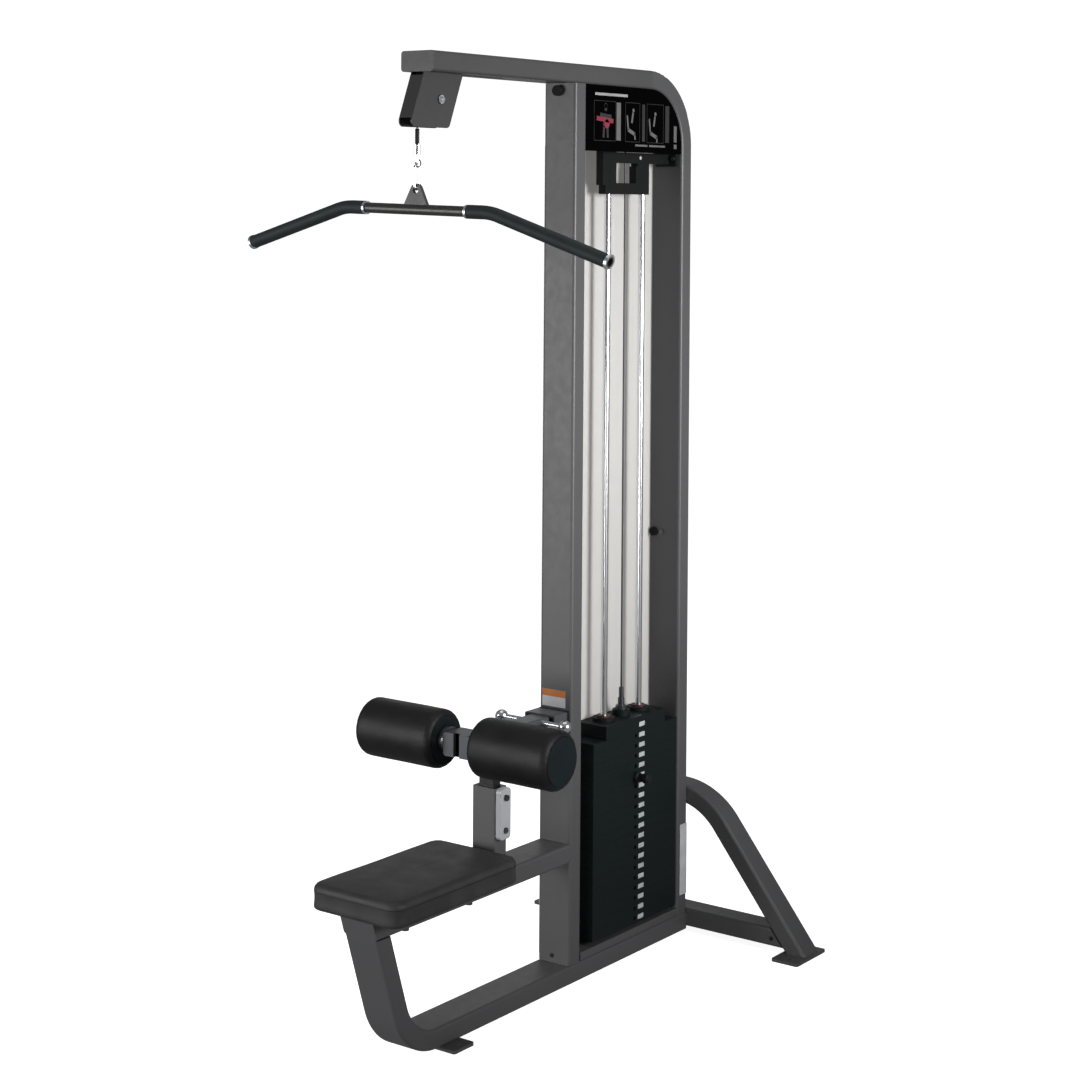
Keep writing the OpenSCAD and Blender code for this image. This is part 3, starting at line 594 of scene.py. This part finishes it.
def placard_print():
    """Blank bars and simple pictures of a seated figure at an exercise."""
    lo, hi = low("placard"), high("placard")
    plane = hi.x + 0.01 * MM

    def at(y, z):
        return (lo.y + y * MM, lo.z + z * MM)

    def patch(name, y0, y1, z0, z1, tone):
        a, b = at(y0, z0), at(y1, z1)
        card(name, plane, a[0], b[0], a[1], b[1], PRINTS[tone], "frame")

    def drawing(name, bm, tone):
        add(name, from_bmesh(bm, name), PRINTS[tone], "frame", False)

    # every place on the board is (y, z) in millimetres from its low corner

    patch("placard_title", 43, 194, 146, 153, "print_light")
    for name, start, end in (("one", 231, 290), ("two", 298, 376)):
        patch("placard_foot_bar_" + name, start, end, 16.5, 21.5, "print_mid")
    for name, foot, top in (("one", 14, 26), ("two", 32, 76)):
        patch("placard_side_bar_" + name, 420, 434, foot, top, "print_mid")
    frames = {"first": (39, 138), "second": (184, 252), "third": (287, 367)}
    for which, (y0, y1) in frames.items():
        bm = bmesh.new()
        for a, b in (((y0, 28), (y1, 28)), ((y1, 28), (y1, 132)), ((y1, 132), (y0, 132)),
                     ((y0, 132), (y0, 28))):
            stroke(bm, plane, at(*a), at(*b), 1.2 * MM)
        drawing("placard_frame_" + which, bm, "print_dark")
    for name, y0, y1, tone in (("one", 142, 162, "print_mid"), ("two", 264, 277, "print_dark"),
                               ("three", 377, 396, "print_dark")):
        patch("placard_band_" + name, y0, y1, 30, 130, tone)
    # muscle chart: a torso with the worked back in red
    bm = bmesh.new()
    for a, b, w in (((92, 124), (92, 106), 11), ((66, 92), (118, 88), 17),
                    ((80, 74), (104, 72), 15), ((84, 64), (82, 36), 9),
                    ((100, 64), (102, 36), 9)):
        stroke(bm, plane, at(*a), at(*b), w * MM)
    blob(bm, plane, at(92, 120), 7 * MM)
    drawing("placard_chart", bm, "print_dark")
    bm = bmesh.new()
    stroke(bm, plane + 0.3 * MM, at(50, 86), at(126, 80), 12 * MM)
    blob(bm, plane + 0.3 * MM, at(97, 72), 12 * MM)
    drawing("placard_accent", bm, "print_red")
    # two seated figures, each on a seat with a back
    bm = bmesh.new()
    for y0, lift in ((184, 0), (290, -6)):
        blob(bm, plane, at(y0 + 38, 112 + lift), 5 * MM)
        stroke(bm, plane, at(y0 + 36, 106 + lift), at(y0 + 30, 78 + lift), 7 * MM)
        stroke(bm, plane, at(y0 + 8, 98 + lift), at(y0 + 14, 58 + lift), 6 * MM)
        stroke(bm, plane, at(y0 + 13, 60 + lift), at(y0 + 46, 48 + lift), 10 * MM)
        stroke(bm, plane, at(y0 + 44, 52 + lift), at(y0 + 46, 34 + lift), 6 * MM)
    drawing("placard_figures", bm, "print_mid")


def stack_labels():
    """A blank tab on every plate, in line, and on the head."""
    lo, hi = low("resting_plates"), high("lifted_plates")
    plates, resting = 19, 14
    pitch = (hi.z - lo.z + 0.4 * MM) / plates
    y = middle("resting_plates").y + 28 * MM
    half_y, half_z = 13 * MM, 6 * MM

    def tab(name, z, body):
        card(name, hi.x, y - half_y, y + half_y, z - half_z, z + half_z,
             PRINTS["tab_white"], body, 0.5 * MM, 0.2 * MM)

    for number in range(plates):
        body = "frame" if number < resting else "lifted_stack"
        tab(f"plate_tab_{number + 1}", lo.z + number * pitch + 13.4 * MM, body)
    tab("head_tab", low("selector_head").z + 14 * MM, "lifted_stack")


def stickers():
    """A two-tone blank sticker on the front upright and a blank label on the rear one."""
    face = low("front_upright").y
    x0, x1 = -42 * MM, 32 * MM
    z_mid = 743 * MM

    def front_card(name, z0, z1, tone):
        mesh = rounded_block(name, (x0, face - 0.3 * MM, z0), (x1, face, z1), 0.1 * MM, 1)
        add(name, mesh, PRINTS[tone], "frame", False)

    front_card("sticker_band", z_mid + 2 * MM, z_mid + 20 * MM, "sticker_orange")
    front_card("sticker_blank", z_mid - 24 * MM, z_mid + 1.9 * MM, "sticker_white")
    side = high("rear_upright")
    y0 = side.y - 36 * MM
    card("upright_label", side.x, y0, y0 + 34 * MM, 111 * MM, 306 * MM,
         PRINTS["tab_white"], "frame", 0.3 * MM, 0.1 * MM)


def lining(name, corners, x, material, body):
    """A thin strip from -x to x along a folded line of (y, z) points."""
    bm = bmesh.new()
    rows = [[bm.verts.new((side * x, y, z)) for y, z in corners] for side in (-1, 1)]
    for k in range(len(corners) - 1):
        bm.faces.new((rows[0][k], rows[0][k + 1], rows[1][k + 1], rows[1][k]))
    bmesh.ops.solidify(bm, geom=bm.faces[:], thickness=0.6 * MM)
    return add(name, from_bmesh(bm, name), material, body, False)


def shade_linings():
    """Black rubber sheets of painted shade inside the pulley housing's open front and in the hub's
    groove.
    """
    lo, hi = low("pulley_housing"), high("pulley_housing")
    lean = 52 * MM
    top = Vector((lo.y + lean, hi.z))
    foot = Vector((lo.y, lo.z))
    off = Vector((-0.7 * MM, 0))
    ends = [tuple(top.lerp(foot, t) + off) for t in (0.01, 0.2, 0.4, 0.6, 0.8, 0.87)]
    # painted shade: a black sheet across the housing's open front, where there is only shade
    lining("housing_front_shade", ends, 19.5 * MM, MATS["black_rubber"], "frame")
    axle = middle("roller_axle")
    face = low("carriage_arm").y + 9.3 * MM
    strip = [(face, axle.z - 30 * MM), (face, axle.z), (face, axle.z + 26 * MM)]
    # painted shade: a black strip in the hub's groove, where there is only shade
    lining("hub_groove_shade", strip, 8.6 * MM, MATS["black_rubber"], "carriage")


def trim():
    """Plugs in the tubes' holes and the heads of the smaller bolts."""
    front = low("front_upright")
    crossbeam_end = high("stabiliser_crossbeam").x
    crossbeam_face = low("stabiliser_crossbeam").y
    for name, at in (("upright_plug", (-5 * MM, front.y, 76 * MM)),
                     ("crossbeam_plug", (crossbeam_end - 34 * MM, crossbeam_face, 38 * MM))):
        disc(name, at, (0, -1, 0), 6 * MM, 1.2 * MM, MATS["black_plastic"], "frame")
    bolt("upright_side_bolt", (low("back_shield").x, front.y + 25 * MM, 204 * MM), (-1, 0, 0),
         4 * MM, "frame")
    ring = high("pulley_housing")
    axle = middle("front_pulley")
    bolt("pulley_bolt_near", (ring.x + 5 * MM, axle.y, axle.z), (1, 0, 0), 6 * MM, "frame")
    bolt("pulley_bolt_far", (-ring.x - 5 * MM, axle.y, axle.z), (-1, 0, 0), 6 * MM, "frame")
    dot = (high("guide_rods").x + 2 * MM, 419 * MM, 2145 * MM)
    disc("bracket_dot", dot, (1, 0, 0), 5 * MM, 1 * MM, PRINTS["tab_white"], "frame")


# ---- camera, light and floor ----

CAMERA_AT = (3.3403, -4.5468, 2.0203)
CAMERA_TURN = 36.443        # degrees about the vertical
CAMERA_ROLL = 0.433         # degrees about the line of sight
CAMERA_LENS = 73.38         # millimetres, on a 36 mm sensor
CAMERA_SHIFT = -0.3118      # keeps the camera level, with the machine in view
BACKDROP = 1.05             # what the camera sees past the floor
WORLD_FILL = 0.2            # the light that comes from all round
FLOOR_GLOW = 0.88           # keeps the pale floor even


def camera():
    data = bpy.data.cameras.new("camera")
    data.sensor_width = 36
    data.lens = CAMERA_LENS
    data.shift_y = CAMERA_SHIFT
    data.clip_end = 200
    piece = bpy.data.objects.new("camera", data)
    turn = Matrix.Rotation(math.radians(CAMERA_TURN), 4, "Z")
    level = Matrix.Rotation(math.radians(90), 4, "X")
    roll = Matrix.Rotation(math.radians(CAMERA_ROLL), 4, "Z")
    piece.matrix_world = Matrix.Translation(CAMERA_AT) @ turn @ level @ roll
    bpy.context.scene.collection.objects.link(piece)
    bpy.context.scene.camera = piece


def area_light(name, at, towards, size, power, spread=180):
    data = bpy.data.lights.new(name, "AREA")
    data.spread = math.radians(spread)
    data.shape = "RECTANGLE"
    data.size, data.size_y = size
    data.energy = power
    piece = bpy.data.objects.new(name, data)
    piece.location = at
    aim = Vector(towards) - Vector(at)
    piece.rotation_euler = aim.to_track_quat("-Z", "Y").to_euler()
    bpy.context.scene.collection.objects.link(piece)


def world_light():
    """A white backdrop for the camera and a dimmer, even fill for everything else."""
    world = bpy.data.worlds.new("studio")
    bpy.context.scene.world = world
    world.use_nodes = True
    tree = world.node_tree
    tree.nodes.clear()
    out = tree.nodes.new("ShaderNodeOutputWorld")
    seen = tree.nodes.new("ShaderNodeBackground")
    seen.inputs["Color"].default_value = (1, 1, 1, 1)
    seen.inputs["Strength"].default_value = BACKDROP
    fill = tree.nodes.new("ShaderNodeBackground")
    fill.inputs["Color"].default_value = (0.97, 0.98, 1, 1)
    fill.inputs["Strength"].default_value = WORLD_FILL
    pick = tree.nodes.new("ShaderNodeMixShader")
    path = tree.nodes.new("ShaderNodeLightPath")
    tree.links.new(path.outputs["Is Camera Ray"], pick.inputs["Fac"])
    tree.links.new(fill.outputs[0], pick.inputs[1])
    tree.links.new(seen.outputs[0], pick.inputs[2])
    tree.links.new(pick.outputs[0], out.inputs[0])


def floor():
    mat, tree, shader = principled("floor", (0.9, 0.9, 0.9), 0.9, specular=0.0)
    shader.inputs["Emission Color"].default_value = (1, 1, 1, 1)
    shader.inputs["Emission Strength"].default_value = FLOOR_GLOW
    bm = bmesh.new()
    bmesh.ops.create_grid(bm, x_segments=1, y_segments=1, size=60)
    mesh = from_bmesh(bm, "floor")
    if mesh.polygons[0].normal.z < 0:
        mesh.flip_normals()
    piece = bpy.data.objects.new("floor", mesh)
    bpy.context.scene.collection.objects.link(piece)
    mesh.materials.append(mat)
    piece.location.z = -0.3 * MM
    piece.visible_diffuse = False
    piece.visible_glossy = False


def lights():
    world_light()
    floor()
    area_light("key", (-2.6, -4.4, 1.3), (0, -0.3, 0.7), (2.4, 2.2), 68, 110)
    area_light("low", (1.2, -4.6, 0.7), (0, 0, 0.1), (1.6, 0.8), 7, 60)
    area_light("side", (3.9, 0.2, 2.0), (0, 0.2, 1.55), (1.4, 1.4), 31, 54)
    area_light("top", (0, 0, 4.6), (0, 0, 0), (2.5, 3.5), 26)
    area_light("back", (-3.0, 3.6, 2.0), (0, -0.4, 0.4), (2.6, 1.6), 9)


camera()
lights()
seat_pad()
seat_seam()
roller_cover("left", -1)
roller_cover("right", 1)
cable_drop("cable_to_bar", "cable_front_drop")
cable_drop("cable_to_stack", "cable_rear_drop")
cable_sleeve()
placard_print()
stack_labels()
stickers()
shade_linings()
trim()

bpy.context.scene.view_settings.view_transform = "Standard"
